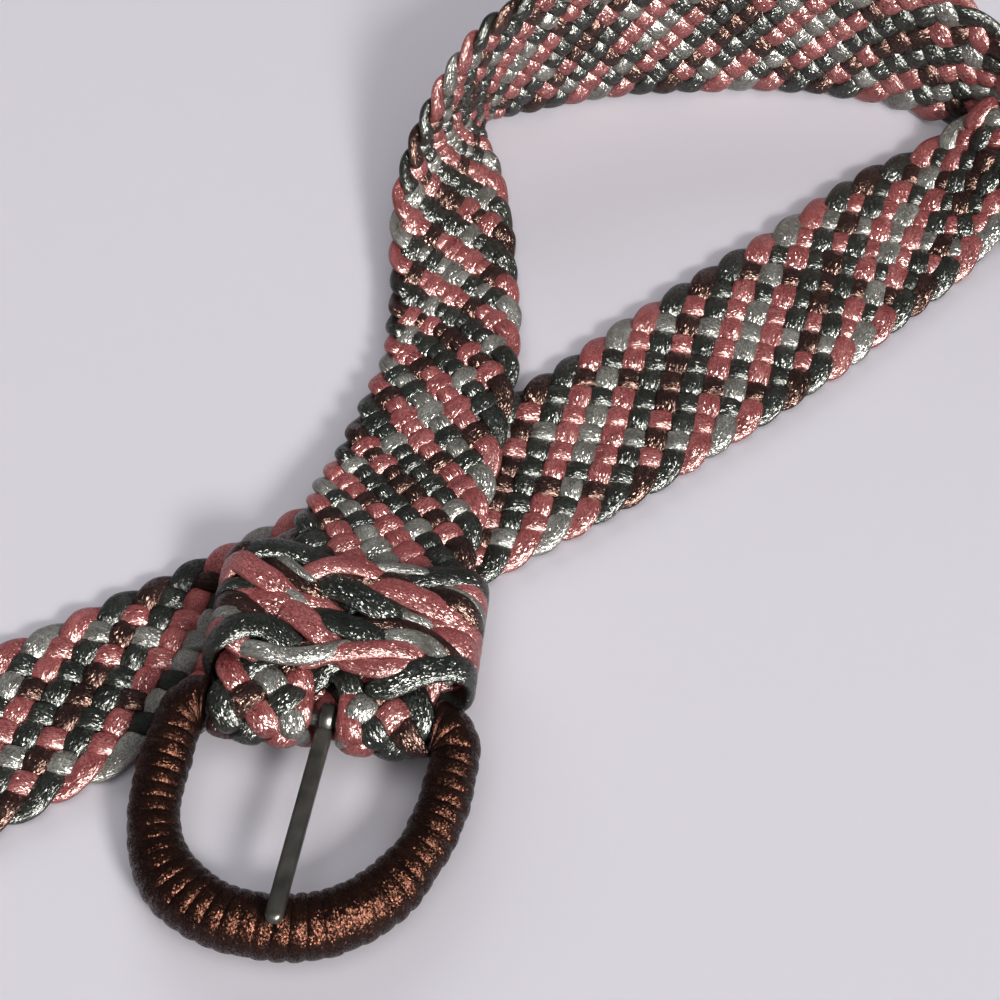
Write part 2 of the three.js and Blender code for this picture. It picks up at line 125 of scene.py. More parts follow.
def sweep(points, normals, half_widths, half_thicknesses, sides=CORD_SIDES):
    """Rings of a soft flattened cord along points, with a dome at both ends, and the way along it."""
    tangent = unit(np.gradient(points, axis=0))
    side = unit(np.cross(tangent, normals))
    normal = np.cross(side, tangent)
    count = len(points)
    narrow = [share for share, _ in CORD_DOME]
    beyond = [place for _, place in CORD_DOME]
    shares = np.concatenate([narrow, np.ones(count), narrow[::-1]])
    places = np.concatenate([beyond, np.zeros(count), [-place for place in beyond[::-1]]])
    index = np.concatenate([[0] * len(CORD_DOME), np.arange(count), [count - 1] * len(CORD_DOME)])
    centre = points[index] + tangent[index] * (half_thicknesses[index] * places)[:, None]
    across = side[index] * (half_widths[index] * shares)[:, None]
    upward = normal[index] * (half_thicknesses[index] * shares)[:, None]
    angle = 2 * math.pi * np.arange(sides) / sides
    c = squared(np.cos(angle), CORD_SQUARENESS)
    s = squared(np.sin(angle), CORD_SQUARENESS)
    rings = centre[:, None] + across[:, None] * c[None, :, None] + upward[:, None] * s[None, :, None]
    return rings, way_along(centre)


def tube_mesh(name, tubes, material, body, closed=False):
    """One mesh from many tubes: rings, way along and strand number each. Its UV map holds the
    millimetres along a tube and the share round it. A closed tube ends where it starts, without caps."""
    places, faces, uvs, strands, caps = [], [], [], [], []
    base = 0
    for rings, travelled, strand in tubes:
        count, sides = rings.shape[:2]
        places.append(rings.reshape(-1, 3))
        strands.append(np.full(count * sides, strand))
        i = np.arange(count - 1)[:, None]
        k = np.arange(sides)[None, :]
        ring, following = i * sides, (i + 1) * sides
        beside = (k + 1) % sides
        quads = np.stack([ring + k, ring + beside, following + beside, following + k], -1)
        faces.append(quads.reshape(-1, 4) + base)
        here, there = travelled[i] + 0 * k, travelled[i + 1] + 0 * k
        left = 0 * i + k
        u = np.stack([here, here, there, there], -1)
        v = np.stack([left, left + 1, left + 1, left], -1) / sides
        uvs.append(np.stack([u, v], -1).reshape(-1, 2))
        end = base + count * sides
        if not closed:
            caps.append(tuple(range(base + sides - 1, base - 1, -1)))
            caps.append(tuple(range(end - sides, end)))
        base = end
    polygons = [tuple(quad) for quad in np.concatenate(faces).tolist()] + caps
    mesh = bpy.data.meshes.new(name)
    mesh.from_pydata(to_frame(np.concatenate(places)).tolist(), [], polygons)
    cap_uvs = np.zeros((sum(len(cap) for cap in caps), 2))
    layer = mesh.uv_layers.new(name="along")
    layer.data.foreach_set("uv", np.concatenate([*uvs, cap_uvs]).astype(np.float32).ravel())
    numbers = mesh.attributes.new("strand", "FLOAT", "POINT")
    numbers.data.foreach_set("value", np.concatenate(strands).astype(np.float32))
    mesh.polygons.foreach_set("use_smooth", np.ones(len(mesh.polygons), bool))
    mesh.materials.append(material)
    mesh.update()
    piece = bpy.data.objects.new(name, mesh)
    bpy.context.scene.collection.objects.link(piece)
    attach(piece, body)
    return piece


# Materials

STITCH_SCALE = 4.8 # stitches in one unit of a cord's pattern
STITCH_SHADE = 0.9 # how far the painted shade between the stitches shows in the colour
LOOSE_RANGE = (0.7, 1.3) # share of a stitch's lean where the thread is tight, and where it is loose


def nodes_of(name):
    material = bpy.data.materials.new(name)
    material.use_nodes = True
    tree = material.node_tree
    return material, tree, tree.nodes["Principled BSDF"]


def add(tree, kind, inputs=None, **settings):
    """A new node, with its inputs linked to sockets or set to values."""
    node = tree.nodes.new(kind)
    for key, value in settings.items():
        setattr(node, key, value)
    for key, value in (inputs or {}).items():
        if isinstance(value, bpy.types.NodeSocket):
            tree.links.new(value, node.inputs[key])
        else:
            node.inputs[key].default_value = value
    return node


def vector(tree, operation, *inputs, **named):
    """Result of a vector operation."""
    sockets = {**dict(enumerate(inputs)), **named}
    return add(tree, "ShaderNodeVectorMath", sockets, operation=operation).outputs[0]


def noise(tree, place, scale, detail, **named):
    sockets = {"Vector": place, "Scale": scale, "Detail": detail, **named}
    return add(tree, "ShaderNodeTexNoise", sockets).outputs["Fac"]


def ramp(tree, factor, stops):
    node = add(tree, "ShaderNodeValToRGB", {"Fac": factor})
    elements = node.color_ramp.elements
    while len(elements) < len(stops):
        elements.new(0.5)
    for element, (place, colour) in zip(elements, stops):
        element.position = place
        element.color = (*colour, 1)
    return node.outputs["Color"]


def cord_place(tree, along, around):
    """Place in a cord's pattern, which has along units to the millimetre and around units in a
    turn round the cord. Each strand has its own part of it."""
    uv = add(tree, "ShaderNodeUVMap", uv_map="along").outputs["UV"]
    strand = add(tree, "ShaderNodeAttribute", attribute_name="strand").outputs["Fac"]
    shift = add(tree, "ShaderNodeCombineXYZ", {"X": strand, "Y": 0.0, "Z": strand}).outputs[0]
    return vector(tree, "MULTIPLY", vector(tree, "ADD", uv, shift), (along, around, 1.0))


def stitch_colour_and_shade(tree, place, stitches, dark, middle, light):
    """Patches of the cord's three tones, with painted shade: darker in the hollows between the stitches
    and lighter on their middles.
    """
    patches = noise(tree, place, 0.3, 2.0)
    tone = ramp(tree, patches, [(0.3, dark), (0.5, middle), (0.7, light)])
    # Painted shade: the colour is multiplied down in the hollows between the stitches and up on their
    # middles.
    between = [(0.1, (1.25, 1.25, 1.25)), (0.65, (0.3, 0.3, 0.3))]
    painted_stitch_shade = ramp(tree, stitches.outputs["Distance"], between)
    mixed = add(tree, "ShaderNodeMix", {0: STITCH_SHADE, 6: tone, 7: painted_stitch_shade},
                data_type="RGBA", blend_type="MULTIPLY")
    return mixed.outputs[2]


def stitch_normal(tree, place, stitches, tilt):
    """Each stitch leans its own way, by more in the loose parts of a cord, over a fine bump of fibres."""
    fibres = noise(tree, place, 6.0, 2.0, Roughness=0.65)
    bump = add(tree, "ShaderNodeBump", {"Height": fibres, "Strength": 0.45, "Distance": 0.0002})
    loose = add(tree, "ShaderNodeMapRange", {
        "Value": noise(tree, place, 0.42, 1.0),
        "From Min": 0.35,
        "From Max": 0.65,
        "To Min": LOOSE_RANGE[0] * tilt,
        "To Max": LOOSE_RANGE[1] * tilt,
    }).outputs[0]
    way = vector(tree, "SUBTRACT", stitches.outputs["Color"], (0.5, 0.5, 0.5))
    lean = vector(tree, "SCALE", way, Scale=loose)
    return vector(tree, "NORMALIZE", vector(tree, "ADD", bump.outputs["Normal"], lean))


def satin(name, tones, glint, tilt=0.78, ior=1.55, along=0.4, around=17.0):
    """Satin cord, knitted of shiny thread. Its stitches lie in rows round it: on the braid's cords
    they are about 0.5 mm long and 0.2 mm across. Each catches the light by itself."""
    material, tree, shader = nodes_of(name)
    place = cord_place(tree, along, around)
    stitches = add(tree, "ShaderNodeTexVoronoi",
                   {"Vector": place, "Scale": STITCH_SCALE, "Randomness": 0.85})
    tree.links.new(stitch_colour_and_shade(tree, place, stitches, *tones), shader.inputs["Base Color"])
    tree.links.new(stitch_normal(tree, place, stitches, tilt), shader.inputs["Normal"])
    shader.inputs["Roughness"].default_value = 0.29
    shader.inputs["IOR"].default_value = ior
    shader.inputs["Specular Tint"].default_value = (*glint, 1)
    return material


def steel():
    """Worn dark steel, with patches of shine and fine scratches."""
    material, tree, shader = nodes_of("dark_steel")
    place = add(tree, "ShaderNodeTexCoord").outputs["Object"]
    wear = noise(tree, place, 180.0, 4.0)
    scratches = noise(tree, place, 1400.0, 2.0)
    colour = ramp(tree, wear, [(0.3, (0.038, 0.036, 0.031)), (0.7, (0.085, 0.081, 0.07))])
    rough = add(tree, "ShaderNodeMapRange", {"Value": wear, "To Min": 0.22, "To Max": 0.42})
    bump = add(tree, "ShaderNodeBump", {"Height": scratches, "Strength": 0.15, "Distance": 0.0001})
    tree.links.new(colour, shader.inputs["Base Color"])
    tree.links.new(rough.outputs[0], shader.inputs["Roughness"])
    tree.links.new(bump.outputs["Normal"], shader.inputs["Normal"])
    shader.inputs["Metallic"].default_value = 0.6
    return material


STEEL = steel()
WINDING = satin(
    "satin_winding",
    ((0.006, 0.003, 0.003), (0.010, 0.005, 0.004), (0.02, 0.008, 0.006)),
    (1.0, 0.42, 0.28), tilt=0.6, ior=1.3, along=0.75, around=22.0,
)
COLOURS = {
    "pink": satin(
        "satin_pink",
        ((0.28, 0.05, 0.05), (0.39, 0.085, 0.085), (0.49, 0.15, 0.14)),
        (1.0, 0.76, 0.7), ior=1.8,
    ),
    "silver": satin(
        "satin_silver",
        ((0.12, 0.115, 0.095), (0.21, 0.205, 0.18), (0.34, 0.335, 0.30)),
        (1.0, 1.0, 0.95), ior=1.7,
    ),
    "green": satin(
        "satin_green",
        ((0.007, 0.009, 0.007), (0.014, 0.017, 0.0135), (0.028, 0.033, 0.027)),
        (0.97, 1.0, 0.93),
    ),
    "brown": satin(
        "satin_brown",
        ((0.008, 0.004, 0.004), (0.018, 0.008, 0.008), (0.035, 0.015, 0.013)),
        (1.0, 0.62, 0.5),
    ),
}


# Shape of the strap

FULL_WIDTH = 54.0
STRAP_THICKNESS = 5.5

# Fold of the strap round the bar, and its tail underneath
FOLD_CLEARANCE = 0.4
FOLD_RADIUS = BAR_RADIUS + FOLD_CLEARANCE + STRAP_THICKNESS / 2
FOLD_HALF_TURN = math.pi * FOLD_RADIUS
FOLD_HALF_WIDTH = 26.2
FOLD_SHIFT = 0.2
FOLD_PITCH = 10.0
TAIL_LENGTH = 25.0
TAIL_RISE = 3.3
TAIL_RISE_LENGTH = 8.0
FIRST_ROW = -(FOLD_HALF_TURN + TAIL_LENGTH) / FOLD_PITCH

# Rounded tip of the free end
TIP_START = 84.5 # row
TIP_ROWS = 3.0
TIP_LEAST = 0.22 # share of the width at the very end
LAST_ROW = TIP_START + TIP_ROWS

# Stations of the strap: row, then x, y, z of its inner edge, then x, y, z of its outer edge.
STATIONS = np.array([
    [2, -9.5, -61, 17.8, -63, -57.5, 17.8],
    [4, -6, -42, 17.65, -58.5, -39, 17.65],
    [6, -3.5, -24, 14, -51, -20, 14.5],
    [8, -1, -5, 10.8, -48.5, -7.5, 11.2],
    [10, 1, 15, 9.6, -43.5, 4, 10],
    [12, 3, 38, 9.0, -38.5, 22, 8],
    [14, 2.5, 61, 5.2, -34.5, 37, 7],
    [16, 0.5, 81, 3.0, -33.5, 49, 7.5],
    [18, -2, 102, 2.7, -33, 63, 9],
    [20, -6, 122, 2.6, -34, 80, 12],
    [22, -10.2, 133, 2.4, -33, 97, 19],
    [24, -12, 138.5, 1.8, -28, 108, 30],
    [26, -10.5, 142.5, 1.0, -21, 117, 42],
    [28, -5, 144.5, 0.2, -12, 127, 51],
    [30, 8, 149, 0, 0, 138, 53.5],
    [33, 27, 155, 0, 20, 150, 54],
    [36, 48, 159, 0, 42, 157, 54],
    [39, 71, 161.5, 0, 66, 161, 54],
    [42, 94, 161, 0, 90, 161, 54],
    [44, 110, 158, 0.1, 108, 157, 53.5],
    [45, 119, 154.5, 0.2, 120, 155.5, 49],
    [46, 127.5, 151.5, 0.5, 131, 152, 42],
    [47, 137, 150.5, 2, 141.5, 142, 33],
    [48, 142.5, 149, 11, 147, 123, 19],
    [49, 136, 145, 18.5, 141.5, 103.5, 6.5],
    [50, 128.4, 143.5, 11, 132.5, 95.5, 3.6],
    [51, 121.5, 140.5, 6, 125.5, 86, 2.75],
    [53, 103.4, 129.8, 2.75, 113.1, 72.2, 2.75],
    [57, 70.7, 99.8, 2.75, 90.2, 47.1, 2.75],
    [61, 37.6, 70.2, 2.75, 64.9, 23.9, 2.75],
    [65, 8.5, 41.2, 2.75, 36.8, -0.2, 2.75],
    [70, -30.5, 8.6, 2.75, -0.6, -28.1, 2.75],
    [77, -84.4, -32.8, 2.75, -59.4, -71.9, 2.75],
    [81, -117.4, -54.3, 2.75, -95.1, -97.3, 2.75],
    [88, -176.4, -90.3, 2.75, -152.1, -137.8, 2.75],
])
STEEPEST = 3 # slope in height, in rises between stations, so that the strap stays off the table
NEARBY = 0.02 # rows, to measure a slope over


def fold_edges(rows):
    """Points of the inner and the outer edge round the bar and along the tail, where rows are
    below zero."""
    distance = -rows * FOLD_PITCH
    angle = distance / FOLD_RADIUS
    past_turn = distance - FOLD_HALF_TURN
    on_tail = past_turn > 0
    rise = TAIL_RISE * smooth(past_turn / TAIL_RISE_LENGTH)
    y = np.where(on_tail, past_turn, -FOLD_RADIUS * np.sin(angle))
    z = np.where(on_tail, rise - FOLD_RADIUS, FOLD_RADIUS * np.cos(angle))
    return (
        buckle_to_table(np.full_like(y, FOLD_SHIFT + FOLD_HALF_WIDTH), y, z),
        buckle_to_table(np.full_like(y, FOLD_SHIFT - FOLD_HALF_WIDTH), y, z),
    )


def station_table(columns, edge):
    """Rows, points and slopes of one edge at the stations, from where it leaves the fold."""
    rows = np.concatenate([[0.0], STATIONS[:, 0]])
    start = fold_edges(np.zeros(1))[edge]
    points = np.concatenate([start, STATIONS[:, columns]])
    steps = np.diff(rows)[:, None]
    rises = np.diff(points, axis=0) / steps
    slopes = np.empty_like(points)
    slopes[0] = BUCKLE_BACK * FOLD_PITCH
    slopes[-1] = rises[-1]
    slopes[1:-1] = (rises[:-1] * steps[1:] + rises[1:] * steps[:-1]) / (steps[1:] + steps[:-1])
    before, after = rises[:-1, 2], rises[1:, 2]
    limit = STEEPEST * np.minimum(abs(before), abs(after)) * (before * after > 0)
    slopes[1:-1, 2] = np.clip(slopes[1:-1, 2], -limit, limit)
    return rows, points, slopes


EDGE_TABLES = (station_table([1, 2, 3], 0), station_table([4, 5, 6], 1))


def edge_points(rows, edge):
    """Points of the strap's inner (0) or outer (1) edge."""
    return np.where((rows <= 0)[:, None], fold_edges(rows)[edge], cubic(*EDGE_TABLES[edge], rows))


def tip_share(rows):
    """Share of the strap's width that is left, which shrinks only at the rounded tip."""
    past = np.clip((rows - TIP_START) / TIP_ROWS, 0, 1)
    return np.maximum(TIP_LEAST, np.sqrt(1 - past * past))


def strap_places(rows, distance):
    """Points on the strap's middle surface and the way from its inner to its outer edge."""
    inner, outer = edge_points(rows, 0), edge_points(rows, 1)
    share = (0.5 + (distance / FULL_WIDTH - 0.5) * tip_share(rows))[:, None]
    return inner * (1 - share) + outer * share, outer - inner


def strap_frames(rows, distance):
    """Points on the strap's middle surface, distance mm in from its inner edge on the full width,
    with the rise along the strap for one row, the way across, the normal and the width."""
    middle, across = strap_places(rows, distance)
    before, after = strap_places(rows - NEARBY, distance), strap_places(rows + NEARBY, distance)
    along = (after[0] - before[0]) / (2 * NEARBY)
    length = np.linalg.norm(across, axis=1)
    across = across / length[:, None]
    return middle, along, across, unit(np.cross(along, across)), length * tip_share(rows)


# The braid: twelve cords, each over one and under one. A cord takes six rows from edge to edge.
# It crosses others at the columns 1 to 11, and turns back at the edges, which are 0 and 12.

CORDS = 12
COLUMNS = 12
ROWS_ACROSS = 6
EDGE_INSET = 1.6 # from the strap's edge to column 0
FOLD_SPREAD = 1.1 # by which the braid is wider round the bar
FOLD_SPREAD_END = 2.5 # row
FOLD_SPREAD_ROWS = 2 # over which it widens
LOOP_APEX = 0.5 # column that a cord reaches as it turns at an edge
COLUMN_STEP = (FULL_WIDTH - 2 * EDGE_INSET) / COLUMNS
CROSSING_LIFT = 1.4 # of a cord's middle where it passes over
CROSSING_FULLNESS = 0.2 # by which a cord stays up for longer than a plain wave
CORD_HALF_THICKNESS = 1.45
CORD_FILL = 1.03 # width of a cord, as a share of the room between its neighbours
FREE_ROOM = 5.6 # for a cord where the strap lies straight
LEAST_ROOM = 4.4 # where it is bunched up in a bend
RINGS_PER_ROW = 14
STRAND_STEP = 3.7 # between the numbers of two cords

# Colour of a cord by the row, modulo six, where it loops round an edge.
ROW_COLOURS = ("green", "pink", "silver", "pink", "green", "brown")

# Unevenness of the cords
WANDER_WAVES = (0.31, 0.73, 1.57) # waves to the row
WANDER_DIVISOR = 1.8
WANDER_SIDEWAYS = 0.22 # mm
WANDER_UPWARDS = 0.08 # mm
WANDER_WIDTH = 0.05 # share
WANDER_THICKNESS = 0.04 # share
WANDER_TWIST = 0.12 # radians

# Slot that the prong comes out of: cords that would cross there turn back instead.
PRONG_OFFSET = 1.8 # of the prong along the bar
SLOT_COLUMN = 6
SLOT_ROWS = (-1, 0)
SLOT_MIDDLE = -0.5 # row
SLOT_REACH = 3 # rows from a crossing to the end of its turned cords
SLOT_HALF_WIDTH = 1.36 # in columns
SLOT_FLARE = math.sqrt(8) # columns over which it closes
SLOT_SIDE_ROWS = 0.25 # past its crossing, where a turned cord shows its side
SLOT_FLAT_ROWS = 0.4 # where turned cords lie flat and squeezed
SLOT_SQUEEZE = 0.12 # share of their width
SLOT_ASIDE_ROWS = 1.2 # where the braid is moved sideways to the prong
SLOT_ASIDE_COLUMNS = 3
SLOT_PUSH = 0.32 # rows by which the crossing behind the slot is pushed back
SLOT_PUSH_ROW = 0.6
SLOT_PUSH_ROWS = 0.6
SLOT_PUSH_COLUMNS = 2


def wander(rows, scale):
    """Slow seeded irregularity along a cord."""
    total = np.zeros_like(rows)
    for waves in WANDER_WAVES:
        height = math.sqrt(WANDER_WAVES[0] / waves)
        total += height * np.sin(2 * math.pi * (waves * rows + random.random()))
    return scale * total / WANDER_DIVISOR


def cord_columns(first, rows):
    """Column and height, from -1 under to 1 over, of the cord whose first inner loop is at row first."""
    phase = (rows - first) % (2 * ROWS_ACROSS)
    inward = phase >= ROWS_ACROSS
    column = COLUMNS - abs(COLUMNS - 2 * phase)
    height = np.cos(math.pi * column) * np.where(inward, 1, -1)
    height = (1 + CROSSING_FULLNESS) * height - CROSSING_FULLNESS * height ** 3
    near_inner = column < 1
    near_outer = column > COLUMNS - 1
    turn_inner = np.where(inward, -column, column)
    turn_outer = np.where(inward, COLUMNS - column, column - COLUMNS)
    height = np.where(near_inner, np.sin(math.pi / 2 * turn_inner), height)
    height = np.where(near_outer, -np.sin(math.pi / 2 * turn_outer), height)
    column = np.where(near_inner, LOOP_APEX * (1 + column ** 2), column)
    column = np.where(near_outer, COLUMNS - LOOP_APEX * (1 + turn_outer ** 2), column)
    return column, height


def open_slot(first, rows, column, height):
    """Cords that would cross in the prong's slot turn back there, and leave it open."""
    squeeze = np.ones_like(rows)
    for row in SLOT_ROWS:
        if (row - first) % ROWS_ACROSS != ROWS_ACROSS // 2:
            continue
        before = rows < row
        column = np.where(before, COLUMNS - column, column)
        height = np.where(before, -height, height)
        away = column - SLOT_COLUMN
        near = abs(rows - row) < SLOT_REACH
        side = np.sign(np.interp(row + SLOT_SIDE_ROWS, rows, away))
        opening = SLOT_HALF_WIDTH * bell(away, 0, SLOT_FLARE)
        column = np.where(near, SLOT_COLUMN + side * np.sqrt(away ** 2 + opening ** 2), column)
        height = height * smooth(abs(rows - row) / SLOT_FLAT_ROWS)
        squeeze = 1 - SLOT_SQUEEZE * bell(rows, row, SLOT_FLAT_ROWS)
    return column, height, squeeze


def room_between(along, width):
    """Room for a cord between its neighbours, where they cross the strap at a slant."""
    pitch = np.linalg.norm(along, axis=1)
    sideways = 2 * COLUMN_STEP * width / FULL_WIDTH
    return pitch * sideways / np.sqrt(pitch ** 2 + sideways ** 2)


def braid_cord(first):
    rows = np.arange(FIRST_ROW, LAST_ROW, 1 / RINGS_PER_ROW)
    column, height = cord_columns(first, rows)
    column, height, squeeze = open_slot(first, rows, column, height)
    inset = EDGE_INSET - FOLD_SPREAD * smooth((FOLD_SPREAD_END - rows) / FOLD_SPREAD_ROWS)
    distance = inset + column * (FULL_WIDTH - 2 * inset) / COLUMNS + wander(rows, WANDER_SIDEWAYS)
    at_slot = bell(rows, SLOT_MIDDLE, SLOT_ASIDE_ROWS) * bell(column, SLOT_COLUMN, SLOT_ASIDE_COLUMNS)
    distance = distance - (PRONG_OFFSET - FOLD_SHIFT) * at_slot
    behind = bell(rows, SLOT_PUSH_ROW, SLOT_PUSH_ROWS) * bell(column, SLOT_COLUMN, SLOT_PUSH_COLUMNS)
    middle, along, across, normal, width = strap_frames(rows + SLOT_PUSH * behind, distance)
    room = room_between(along, width)
    bunched = np.sqrt(np.clip(FREE_ROOM / room, 1, FREE_ROOM / LEAST_ROOM))
    room = np.maximum(room, LEAST_ROOM)
    half_width = CORD_FILL * room / 2 * squeeze * (1 + wander(rows, WANDER_WIDTH))
    half_thickness = CORD_HALF_THICKNESS * bunched * (1 + wander(rows, WANDER_THICKNESS))
    lift = height * CROSSING_LIFT * bunched + wander(rows, WANDER_UPWARDS)
    points = middle + normal * lift[:, None]
    twisted = normal + across * wander(rows, WANDER_TWIST)[:, None]
    rings, travelled = sweep(points, twisted, half_width, half_thickness)
    return rings, travelled, first * STRAND_STEP


def braid():
    by_colour = {}
    for first in range(CORDS):
        colour = ROW_COLOURS[first % len(ROW_COLOURS)]
        by_colour.setdefault(colour, []).append(braid_cord(first))
    for colour, tubes in by_colour.items():
        piece = tube_mesh(f"strap_cords_{colour}", tubes, COLOURS[colour], "belt")
        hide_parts("strap")


# The keeper: cords of two plaits, one behind the other, that go round the strap and its tail.

KEEPER_MIDDLE = 2.85 # along the bar
KEEPER_TOP = 9.7 # height of the cords' middles above the bar
KEEPER_BOTTOM = -6.5
KEEPER_HALF_WIDTH = 31.1
KEEPER_CORNER = 6.5
KEEPER_FLAT = KEEPER_HALF_WIDTH - KEEPER_CORNER # from the middle of the top to the corner
KEEPER_TURN = math.pi / 2 * KEEPER_CORNER # round the corner
KEEPER_SIDE = KEEPER_TOP - KEEPER_BOTTOM - 2 * KEEPER_CORNER
KEEPER_PLAITS = (14.5, 31.5) # middles of the two plaits
PLAIT_HALF_WIDTH = 9.0
PLAIT_DOME = 1.0
KEEPER_LIFT = 1.35 # of a cord's middle where it passes over
KEEPER_LIFT_BELOW = 0.35 # share of it that is left down the sides and underneath
KEEPER_HALF_THICKNESS = 1.45
KEEPER_SAMPLES = 70
KEEPER_CORD_SIDES = 16
KEEPER_SIDE_WIDTH = 3.3 # largest half width of a cord down the sides
KEEPER_TAPER = 0.45 # by which a cord narrows as it goes under
KEEPER_TAPER_LEVEL = -0.2 # where that starts
KEEPER_STAGGER = 3.0 # by which the ends underneath differ
KEEPER_STAGGER_TURN = 1.9 # radians a millimetre from one lane to the next
KEEPER_FIRST_STRAND = 50
KEEPER_STRAND_STEP = 2.3 # between the numbers of two cords

# A cord's way down the side and underneath: distance past the flat top, shift of the lane, level.
KEEPER_WAY_DOWN = (
    (0.75 * KEEPER_TURN, 0.0, 0.5),
    (1.5 * KEEPER_TURN, 0.0, 0.0),
    (2 * KEEPER_TURN + 3, 0.0, -0.2),
    (2 * KEEPER_TURN + 15, 0.6, 0.3),
    (2 * KEEPER_TURN + 26, 0.0, -1.3),
)

